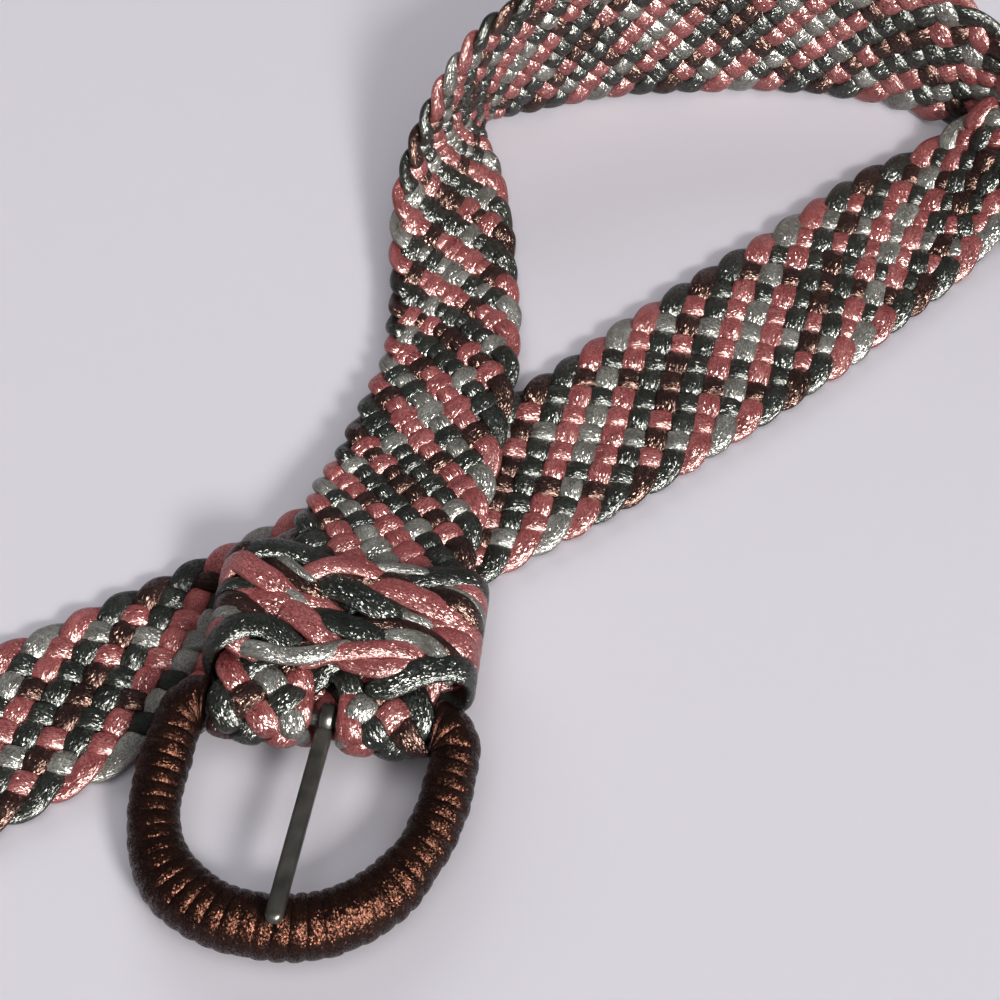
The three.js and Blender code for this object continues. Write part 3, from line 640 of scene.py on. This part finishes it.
# Cords of the keeper as seen from above: colour, half width, lane on the left and on the right
# (None where that end tucks in), and the points along it: x along the bar, y, and level from
# -1, under its neighbours, to 1, over them.
KEEPER_CORDS = (
    ("brown", 2.5, 38.5, None, ((-24.5, 40.3, 0.2), (-20, 38.9, -0.8), (-13.5, 33.4, 0.5),
                                (-6.8, 29.9, 0.4), (-2, 26.8, -0.6), (2, 24.5, -1.3))),
    ("green", 3.1, None, None, ((-25.5, 37.5, -1.3), (-21.9, 39.3, 0.3), (-14.7, 40.2, 0.9),
                                (-8.3, 38.6, 0.7), (-3, 36.8, -0.3), (1.5, 34.5, -1.3))),
    ("pink", 3.4, 33.0, None, ((-25.2, 35.3, 0.8), (-21, 32.3, 1.0), (-14.8, 28.8, 0.8),
                               (-11.5, 26.5, -0.2), (-8, 24, -1.3))),
    ("silver", 1.6, None, None, ((-17.5, 38.7, -1.1), (-14.3, 36.6, 0.4), (-9.9, 32.8, 0.8),
                                 (-6.2, 30.4, 0.3), (-3, 28, -1.2))),
    ("pink", 2.7, None, None, ((-13, 27.5, -1.2), (-9.3, 31.8, 0.2), (-3.1, 36.3, 0.9),
                               (3, 37, 1.0), (8.5, 35.4, 0.4), (13, 33.6, -1.0))),
    ("silver", 1.5, None, None, ((3, 34.6, -1.0), (7.5, 37.1, 0.3), (13.8, 37.9, 0.7),
                                 (21.2, 36.7, 0.5), (26, 34.3, -1.0))),
    ("brown", 2.2, None, None, ((-6, 29, -1.1), (-2, 31.6, -0.3), (3.5, 33.4, 0.0),
                                (9.4, 34.6, 0.2), (16, 34.4, 0.1), (21.5, 32.4, -1.0))),
    ("green", 3.2, None, 37.5, ((12.5, 32.5, -1.2), (17.7, 35.8, 0.2), (24.7, 37.2, 0.8))),
    ("green", 3.5, None, None, ((-7.5, 31.8, -1.1), (-3.2, 31.2, 0.3), (1.7, 29.7, 0.9),
                                (8.1, 26.7, 1.0), (15, 24.3, 0.3), (20, 22.6, -1.2))),
    ("pink", 3.3, None, None, ((6, 34, -1.2), (10.3, 32, 0.4), (15, 30.7, 0.9), (22.3, 28.1, 1.0),
                               (28.5, 26.5, 0.3), (32, 25, -0.9))),
    ("silver", 1.7, None, None, ((12.5, 26.4, -1.2), (16.9, 24.8, 0.2), (21, 23.7, 0.1),
                                 (25, 22.5, -1.2))),
    ("brown", 2.7, None, 26.5, ((19.5, 33.3, -1.2), (23.6, 31.4, 0.4), (28.1, 29.6, 1.1))),
    ("silver", 2.1, None, 30.0, ((23, 34.3, -1.1), (27.2, 32.3, 0.3))),
    ("pink", 2.8, None, 33.5, ((22, 30, -1.3), (26.5, 33.7, -0.4), (28.5, 34.4, 0.3))),
    ("pink", 2.2, None, None, ((-13.5, 28, -1.2), (-8, 26.4, -0.2), (-3, 25.2, -0.2),
                               (2, 24, -1.2))),
    ("silver", 2.1, None, None, ((-17.5, 29.5, -1.1), (-12.8, 27.4, 0.1), (-8.8, 25.4, 0.2),
                                 (-4.5, 23.5, -1.2))),
    ("green", 2.0, 28.3, None, ((-24, 28.9, -0.2), (-20, 27.3, -0.4), (-15.5, 25.5, -1.2))),
    ("pink", 2.3, None, None, ((-27, 29, -1.2), (-21, 26.6, -0.3), (-15.5, 25.4, -0.4),
                               (-11, 24, -1.3))),
    ("brown", 2.6, 24.5, None, ((-24.5, 24.2, 0.4), (-20.3, 21.8, 0.7), (-16.5, 18.8, 0.2),
                                (-12.5, 15.6, -1.2))),
    ("silver", 2.4, 21.2, None, ((-24.5, 20.5, 0.1), (-20.6, 19.0, 0.0), (-16, 17, -1.2))),
    ("pink", 3.0, 17.0, None, ((-26, 15.8, 0.4), (-22, 12.6, -0.1), (-17, 10.0, -1.2))),
    ("green", 3.6, 12.0, None, ((-25, 13.2, 0.7), (-21.2, 15.9, 0.9), (-15.4, 16.7, 0.9),
                                (-9.6, 13.2, 0.2), (-5, 10, -1.2))),
    ("pink", 3.6, None, None, ((-23.5, 24.6, -1.2), (-19, 24.0, 0.3), (-11.7, 22.9, 1.0),
                               (-4.9, 18.6, 1.0), (-0.8, 15.8, 0.2), (3, 13, -1.2))),
    ("silver", 2.3, None, None, ((-21.5, 11.9, -1.1), (-17, 10.4, 0.4), (-8.1, 9.2, 0.9),
                                 (0.5, 11.5, 0.9), (5.3, 14.1, 0.2), (10.9, 16.6, 0.0),
                                 (16.5, 18.3, 0.8), (22.6, 17.0, 1.0), (26.8, 13.4, 0.8),
                                 (29.5, 9.6, -1.1))),
    ("green", 3.6, None, None, ((-9.5, 22.8, -1.1), (-5.3, 21.5, 0.3), (2.5, 19.7, 0.9),
                                (9.6, 16.7, 0.9), (13.5, 14.2, -0.1), (17, 11.5, -1.2))),
    ("brown", 2.2, None, None, ((4.5, 23.2, -1.1), (10, 22.2, 0.2), (16.1, 21.5, 0.7),
                                (23.7, 18.6, 0.7), (29, 14.6, 0.4), (32, 11.5, -1.1))),
    ("pink", 2.5, None, None, ((-5.5, 9.2, -1.2), (-0.9, 10.8, 0.3), (5.2, 12.2, 0.8),
                               (12.5, 13.7, 1.0), (19.4, 14.0, 0.5), (24, 12.4, -1.1))),
    ("pink", 2.4, None, None, ((1.5, 11.8, -1.0), (7.0, 9.8, 0.0), (12, 8.8, 0.5),
                               (18.5, 10.2, 0.5), (23.5, 14, -1.1))),
    ("pink", 3.6, None, 19.0, ((20.5, 20.3, -1.2), (25.5, 19.3, 0.3))),
    ("green", 3.6, None, 12.4, ((11.5, 4.6, -1.0), (16.2, 5.8, 0.1), (22.7, 9.0, 0.8))),
    ("pink", 2.6, None, 23.5, ((19, 25.6, -1.0), (25, 24.8, -0.3))),
    ("brown", 1.9, None, None, ((-10, 12.6, -1.0), (-4.5, 13.6, -0.3), (1, 14.8, -1.0))),
)


def keeper_points(around, y, level):
    """Middles of the keeper's cords, and the way out of it. around runs from the middle of its
    top to the right, down the side and back underneath, and the other way with a minus sign."""
    stretches = (KEEPER_FLAT, KEEPER_TURN, KEEPER_SIDE, KEEPER_TURN, KEEPER_FLAT)
    stops = np.cumsum([0, *stretches[:-1]])
    past = [np.clip(abs(around) - stop, 0, length) for stop, length in zip(stops, stretches)]
    angle = (past[1] + past[3]) / KEEPER_CORNER
    x = past[0] - past[4] + KEEPER_CORNER * np.sin(angle)
    z = KEEPER_TOP - KEEPER_CORNER + KEEPER_CORNER * np.cos(angle) - past[2]
    out_x, out_z = np.sin(angle), np.cos(angle)
    nearest = np.where(y < sum(KEEPER_PLAITS) / 2, *KEEPER_PLAITS)
    across = (y - nearest) / PLAIT_HALF_WIDTH
    on_top = np.clip(out_z, 0, 1)
    dome = PLAIT_DOME * on_top * (0.5 - across ** 2)
    lift = level * KEEPER_LIFT * (KEEPER_LIFT_BELOW + (1 - KEEPER_LIFT_BELOW) * on_top) + dome
    out_y = 2 * PLAIT_DOME * across / PLAIT_HALF_WIDTH * on_top
    sign = np.sign(around)
    points = buckle_to_table(KEEPER_MIDDLE + sign * (x + lift * out_x), y, z + lift * out_z)
    outward = buckle_to_table(sign * out_x, out_y, out_z) - BAR_CENTRE
    return points, unit(outward)


def keeper_path(left, right, seen):
    """Points of a cord by the way round the keeper, y and level: the ones seen from above, and
    the way down at the ends that have a lane."""
    path = [(x - KEEPER_MIDDLE, y, level) for x, y, level in seen]
    for lane, sign in ((left, -1), (right, 1)):
        if lane is None:
            continue
        way_down = [[KEEPER_FLAT + way, lane + shift, level] for way, shift, level in KEEPER_WAY_DOWN]
        way_down[-1][0] += KEEPER_STAGGER * math.sin(KEEPER_STAGGER_TURN * lane)
        way_down = [(sign * way, y, level) for way, y, level in way_down]
        path = path + way_down if sign > 0 else way_down[::-1] + path
    return np.array(path, float)


def keeper_cord(half_width, left, right, seen):
    path = keeper_path(left, right, seen)
    steps = way_along(path[:, :2])
    slopes = np.gradient(path, steps, axis=0)
    slopes[0] = (path[1] - path[0]) / (steps[1] - steps[0])
    slopes[-1] = (path[-1] - path[-2]) / (steps[-1] - steps[-2])
    around, y, level = cubic(steps, path, slopes, np.linspace(0, steps[-1], KEEPER_SAMPLES)).T
    points, outward = keeper_points(around, y, level)
    taper = 1 - KEEPER_TAPER * smooth(KEEPER_TAPER_LEVEL - level)
    on_side = abs(around) > KEEPER_FLAT + KEEPER_TURN / 2
    narrow = np.where(on_side, np.minimum(1, KEEPER_SIDE_WIDTH / half_width), 1.0)
    half_thickness = np.full(KEEPER_SAMPLES, KEEPER_HALF_THICKNESS)
    return sweep(points, outward, half_width * taper * narrow, half_thickness, KEEPER_CORD_SIDES)


def keeper():
    by_colour = {}
    for number, (colour, half_width, left, right, seen) in enumerate(KEEPER_CORDS):
        rings, travelled = keeper_cord(half_width, left, right, seen)
        strand = KEEPER_FIRST_STRAND + number * KEEPER_STRAND_STEP
        by_colour.setdefault(colour, []).append((rings, travelled, strand))
    for colour, tubes in by_colour.items():
        piece = tube_mesh(f"keeper_cords_{colour}", tubes, COLOURS[colour], "belt")
        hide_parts("keeper")


# The ring's winding: one satin cord wound round the steel, turn beside turn.

WRAP_RADIUS = 6.2 # on the arms
WRAP_FRONT_RADIUS = 7.6 # at the front
WRAP_SWELL = (28.0, 48.0) # it thickens between these distances from the bar
WRAP_END_HEIGHT = 6.8 # half height of the two ends on the bar
WRAP_END_WIDTH = 7.25 # and their half width
WRAP_END = 26.9 # place of the ends along the bar
WRAP_PIVOT = -6.5 # y of the inner side of a corner
WRAP_ARM_WIDTH = 5.95 # half width where a corner meets the arm
WRAP_ROUNDING = 1.2 # length over which the two ends are rounded
WRAP_ROUNDED = 0.86 # share of the thickness at their faces
WRAP_TURNS = 42
WRAP_GROOVE = 0.6 # depth between two turns
WRAP_RIDGE = 0.9 # below 1, the turns are fuller than half round
WRAP_SIDES = 40
WRAP_RINGS_PER_TURN = 14
WRAP_CORNER_SAMPLES = 30
WRAP_FRONT_SAMPLES = 400

# Unevenness of the turns
UNEVEN_PLACE = 0.07 # of a turn's middle, as a share of the turn
UNEVEN_PLACES = (0.3, 0.7) # and its range
UNEVEN_GROOVE = 0.28 # share of the groove's depth
UNEVEN_HEIGHT = 0.14 # mm

# Middle line of the ring, in its own plane
RING_HALF_WIDTH = 33.0
RING_DEPTH = 52.4 # from the bar to the front
RING_ARM = 14.0 # from the bar to where the arms start to bend
RING_SQUARENESS = 2.3
RING_SKEW = 4.5 # by which the front lies to the left
RING_ANGLE = math.asin((BAR_CENTRE[2] - WRAP_FRONT_RADIUS) / RING_DEPTH) # its front lies on the table
RING_NORMAL = UP * math.cos(RING_ANGLE) - BUCKLE_BACK * math.sin(RING_ANGLE)


def ring_point(places):
    """Table places of points in the ring's own plane: x along the bar, y towards the strap."""
    x, y = places.T
    skewed = x - RING_SKEW * smooth(-y / RING_DEPTH)
    return buckle_to_table(skewed, y * math.cos(RING_ANGLE), y * math.sin(RING_ANGLE))


def wrap_corner(side):
    """Middles, ways inward, half widths and half heights of the winding round one corner, from
    its end on the bar to the arm. They turn about the corner's inner side."""
    share = np.linspace(0, 1, WRAP_CORNER_SAMPLES)
    angle = math.pi / 2 * share
    half_width = WRAP_END_WIDTH + (WRAP_ARM_WIDTH - WRAP_END_WIDTH) * smooth(share)
    half_height = WRAP_END_HEIGHT + (WRAP_RADIUS - WRAP_END_HEIGHT) * smooth(share)
    outward = np.stack([side * np.sin(angle), np.cos(angle)], 1)
    middle = np.array([side * WRAP_END, WRAP_PIVOT]) + outward * half_width[:, None]
    return np.concatenate([middle, -outward, half_width[:, None], half_height[:, None]], 1)


def wrap_front():
    """The same for the arms and the front, from right to left."""
    front = np.radians(np.linspace(0, 180, WRAP_FRONT_SAMPLES))
    x = RING_HALF_WIDTH * squared(np.cos(front), RING_SQUARENESS)
    y = -RING_ARM - (RING_DEPTH - RING_ARM) * squared(np.sin(front), RING_SQUARENESS)
    middle = np.stack([x, y], 1)
    along = unit(np.gradient(middle, axis=0))
    inward = np.stack([along[:, 1], -along[:, 0]], 1)
    swell = smooth((-y - WRAP_SWELL[0]) / (WRAP_SWELL[1] - WRAP_SWELL[0]))
    radius = (WRAP_RADIUS + (WRAP_FRONT_RADIUS - WRAP_RADIUS) * swell)[:, None]
    return np.concatenate([middle, inward, radius, radius], 1)


def wrap_sections():
    """Way along the winding at evenly spaced sections, and the same six values for each."""
    sections = np.concatenate([wrap_corner(1), wrap_front(), wrap_corner(-1)[::-1]])
    travelled = way_along(ring_point(sections[:, :2]))
    along = np.linspace(0, travelled[-1], WRAP_TURNS * WRAP_RINGS_PER_TURN + 1)
    return along, np.stack([np.interp(along, travelled, values) for values in sections.T], 1)


def wrap_relief(count, angle):
    """Height of the turns' surface over the plain winding, in count sections, at angles round it.
    Each turn is a ridge of its own place, depth and height."""
    # Turn number along the helix, which starts underneath
    turn = np.linspace(0, WRAP_TURNS, count)[:, None] + (angle[None, :] / (2 * math.pi))
    whole = np.floor(turn).astype(int)
    part = turn - whole
    last = WRAP_TURNS + 2
    draws = np.array([[random.gauss(0, 1) for _ in range(3)] for _ in range(last + 1)])
    share = (angle / (2 * math.pi))[None, :, None]
    vary = draws[whole] * (1 - share) + draws[np.minimum(whole + 1, last)] * share
    middle = np.clip(0.5 + UNEVEN_PLACE * vary[..., 0], *UNEVEN_PLACES)
    bent = np.where(part < middle, 0.5 * part / middle, 0.5 + 0.5 * (part - middle) / (1 - middle))
    ridge = np.sqrt(np.clip(1 - (2 * bent - 1) ** 2, 0, 1)) ** WRAP_RIDGE
    groove = WRAP_GROOVE * (1 + UNEVEN_GROOVE * vary[..., 1])
    return UNEVEN_HEIGHT * vary[..., 2] * ridge - groove * (1 - ridge)


def winding():
    along, sections = wrap_sections()
    centre = ring_point(sections[:, :2])
    across = unit(ring_point(sections[:, :2] + sections[:, 2:4]) - centre)
    angle = 2 * math.pi * np.arange(WRAP_SIDES) / WRAP_SIDES
    relief = wrap_relief(len(along), angle)
    from_end = np.clip(np.minimum(along, along[-1] - along) / WRAP_ROUNDING, 0, 1)
    rounded = (WRAP_ROUNDED + (1 - WRAP_ROUNDED) * np.sqrt(1 - (1 - from_end) ** 2))[:, None]
    half_width = (sections[:, 4:5] + relief) * rounded
    half_height = (sections[:, 5:6] + relief) * rounded
    rings = (
        centre[:, None]
        - across[:, None] * (half_width * np.sin(angle))[..., None]
        - RING_NORMAL * (half_height * np.cos(angle))[..., None]
    )
    piece = tube_mesh("buckle_winding", [(rings, along, 0.0)], WINDING, "buckle")
    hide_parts("buckle_wrap")


# The prong: a flat-sided steel pin with soft edges and a rounded tip, and a flat eye round the bar.

PRONG_RADIUS = 2.05 # half width of the pin
PRONG_ABOVE = 0.92 # share of it that is over the pin's axis
PRONG_BELOW = 0.8
PRONG_SQUARENESS = 3.2
PRONG_REACH = 54.4 # from the bar to the start of its rounded tip
PRONG_SKEW = 3.1 # sideways over that reach
PRONG_LIFT = 3.85 # upwards over that reach
PRONG_ROOT = 3.0 # from the bar's middle to the start of the pin, inside the eye
PRONG_SIDES = 24
PRONG_SAMPLES = 40
PRONG_TIP = np.radians(np.linspace(0, 86, 9)[1:]) # angles of the rings round the tip
EYE_RADIUS = 3.9
EYE_WIDTH = 3.6
EYE_CLEARANCE = 0.35 # round the bar
EYE_BEVEL = 0.5
EYE_SAMPLES = 49
EYE_LENGTH = 24 # round its outer side


def prong_pin():
    lift = math.atan2(PRONG_LIFT, PRONG_REACH)
    heading = BUCKLE_TURN - math.atan2(PRONG_SKEW, PRONG_REACH)
    level = np.array([math.sin(heading), -math.cos(heading), 0.0])
    along = level * math.cos(lift) + UP * math.sin(lift)
    upward = unit(np.cross(BAR_DIRECTION, along))
    side = unit(np.cross(along, upward))
    length = PRONG_REACH - PRONG_ROOT
    straight = np.linspace(0, length, PRONG_SAMPLES)
    way = np.concatenate([straight, length + PRONG_RADIUS * np.sin(PRONG_TIP)])
    radius = PRONG_RADIUS * np.concatenate([np.ones(PRONG_SAMPLES), np.cos(PRONG_TIP)])[:, None]
    points = buckle_to_table(PRONG_OFFSET, 0, 0) + (PRONG_ROOT + way[:, None]) * along
    angle = 2 * math.pi * np.arange(PRONG_SIDES) / PRONG_SIDES
    c = squared(np.cos(angle), PRONG_SQUARENESS)
    s = squared(np.sin(angle), PRONG_SQUARENESS) * np.where(np.sin(angle) > 0, PRONG_ABOVE, PRONG_BELOW)
    rings = points[:, None] + side * (radius * c)[..., None] + upward * (radius * s)[..., None]
    piece = tube_mesh("prong_pin", [(rings, way, 0.0)], STEEL, "tongue")
    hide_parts("prong")


def prong_eye():
    inner = BAR_RADIUS + EYE_CLEARANCE
    half = EYE_WIDTH / 2
    profile = (
        (inner, -half + EYE_BEVEL),
        (inner + EYE_BEVEL, -half),
        (EYE_RADIUS - EYE_BEVEL, -half),
        (EYE_RADIUS, -half + EYE_BEVEL),
        (EYE_RADIUS, half - EYE_BEVEL),
        (EYE_RADIUS - EYE_BEVEL, half),
        (inner + EYE_BEVEL, half),
        (inner, half - EYE_BEVEL),
    )
    rings = np.array([
        [buckle_to_table(PRONG_OFFSET + x, r * math.cos(a), r * math.sin(a)) for r, x in profile]
        for a in np.linspace(0, 2 * math.pi, EYE_SAMPLES)
    ])
    way = np.linspace(0, EYE_LENGTH, EYE_SAMPLES)
    eye = tube_mesh("prong_eye", [(rings, way, 0.0)], STEEL, "tongue", closed=True)
    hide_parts("prong")


def dress_frame():
    """The CAD frame stays, in steel, inside the fold and the winding."""
    bpy.data.objects["buckle_frame"].material_slots[0].material = STEEL


# Camera at the photograph's angle

LENS_PIXELS = 2400.0 # focal length
FRAME_PIXELS = 1000.0 # width of the photograph
SENSOR = 36.0
CAMERA_ELEVATION = math.radians(52)
CAMERA_ROLL = math.radians(3.3)
CAMERA_PLACE = np.array([0.0, -383.75, 491.18])
CLIP_START = 0.01 # metres
CLIP_END = 20.0


def camera():
    """The table's straight down runs to a vanishing point below the picture, which gives the
    camera's elevation and roll."""
    reach = LENS_PIXELS / math.tan(CAMERA_ELEVATION)
    down = unit(np.array([-reach * math.sin(CAMERA_ROLL), reach * math.cos(CAMERA_ROLL), LENS_PIXELS]))
    up = -down
    back = unit(np.array([0, 0, 1.0]) - up[2] * up)
    right = np.cross(back, up)
    data = bpy.data.cameras.new("camera")
    data.sensor_width = SENSOR
    data.lens = SENSOR * LENS_PIXELS / FRAME_PIXELS
    data.clip_start = CLIP_START
    data.clip_end = CLIP_END
    eye = bpy.data.objects.new("camera", data)
    turn = Matrix([[axis[0], -axis[1], -axis[2]] for axis in (right, back, up)]).to_4x4()
    eye.matrix_world = Matrix.Translation(Vector(to_frame(CAMERA_PLACE))) @ turn
    bpy.context.scene.collection.objects.link(eye)
    bpy.context.scene.camera = eye


# Floor and light, in metres and watts

FLOOR_SIZE = 8
FLOOR_HEIGHT = -0.0004 # just under the belt
LAMP = {"azimuth": 32, "elevation": 37, "distance": 4.5} # place of the main light


def floor():
    bpy.ops.mesh.primitive_plane_add(size=FLOOR_SIZE, location=(0, 0, FLOOR_HEIGHT))
    plane = bpy.context.object
    plane.name = "floor"
    material, _, shader = nodes_of("floor_pale")
    shader.inputs["Base Color"].default_value = (0.56, 0.54, 0.58, 1)
    shader.inputs["Roughness"].default_value = 0.9
    shader.inputs["Specular IOR Level"].default_value = 0.0
    plane.data.materials.append(material)


def area_light(name, azimuth, elevation, distance, size, power, colour, glint=False):
    """A square soft light that faces the belt. Azimuth 0 is in front, and grows to the right. A
    glint light shows only in glossy surfaces, and the others only light what they fall on."""
    data = bpy.data.lights.new(name, "AREA")
    data.shape = "RECTANGLE"
    data.size = size
    data.size_y = size
    data.energy = power
    data.color = colour
    light = bpy.data.objects.new(name, data)
    a, e = math.radians(azimuth), math.radians(elevation)
    way = Vector((math.sin(a) * math.cos(e), -math.cos(a) * math.cos(e), math.sin(e)))
    light.location = way * distance
    light.visible_diffuse = not glint
    light.visible_glossy = glint
    light.rotation_euler = way.to_track_quat("Z", "Y").to_euler()
    bpy.context.scene.collection.objects.link(light)


def studio():
    area_light("key", **LAMP, size=0.9, power=160, colour=(1.0, 0.98, 0.96))
    area_light("glint", **LAMP, size=1.15, power=1900, colour=(1.0, 0.98, 0.95), glint=True)
    area_light("top", 10, 72, 1.5, size=1.4, power=12, colour=(0.96, 0.96, 1.0))
    area_light("fill", 200, 35, 2.4, size=1.6, power=26, colour=(0.97, 0.97, 1.0))
    world = bpy.data.worlds.new("studio")
    bpy.context.scene.world = world
    world.use_nodes = True
    background = world.node_tree.nodes["Background"]
    background.inputs["Color"].default_value = (0.88, 0.88, 0.91, 1)
    background.inputs["Strength"].default_value = 0.13
    bpy.context.scene.view_settings.view_transform = "Standard"


braid()
keeper()
winding()
prong_pin()
prong_eye()
dress_frame()
camera()
floor()
studio()
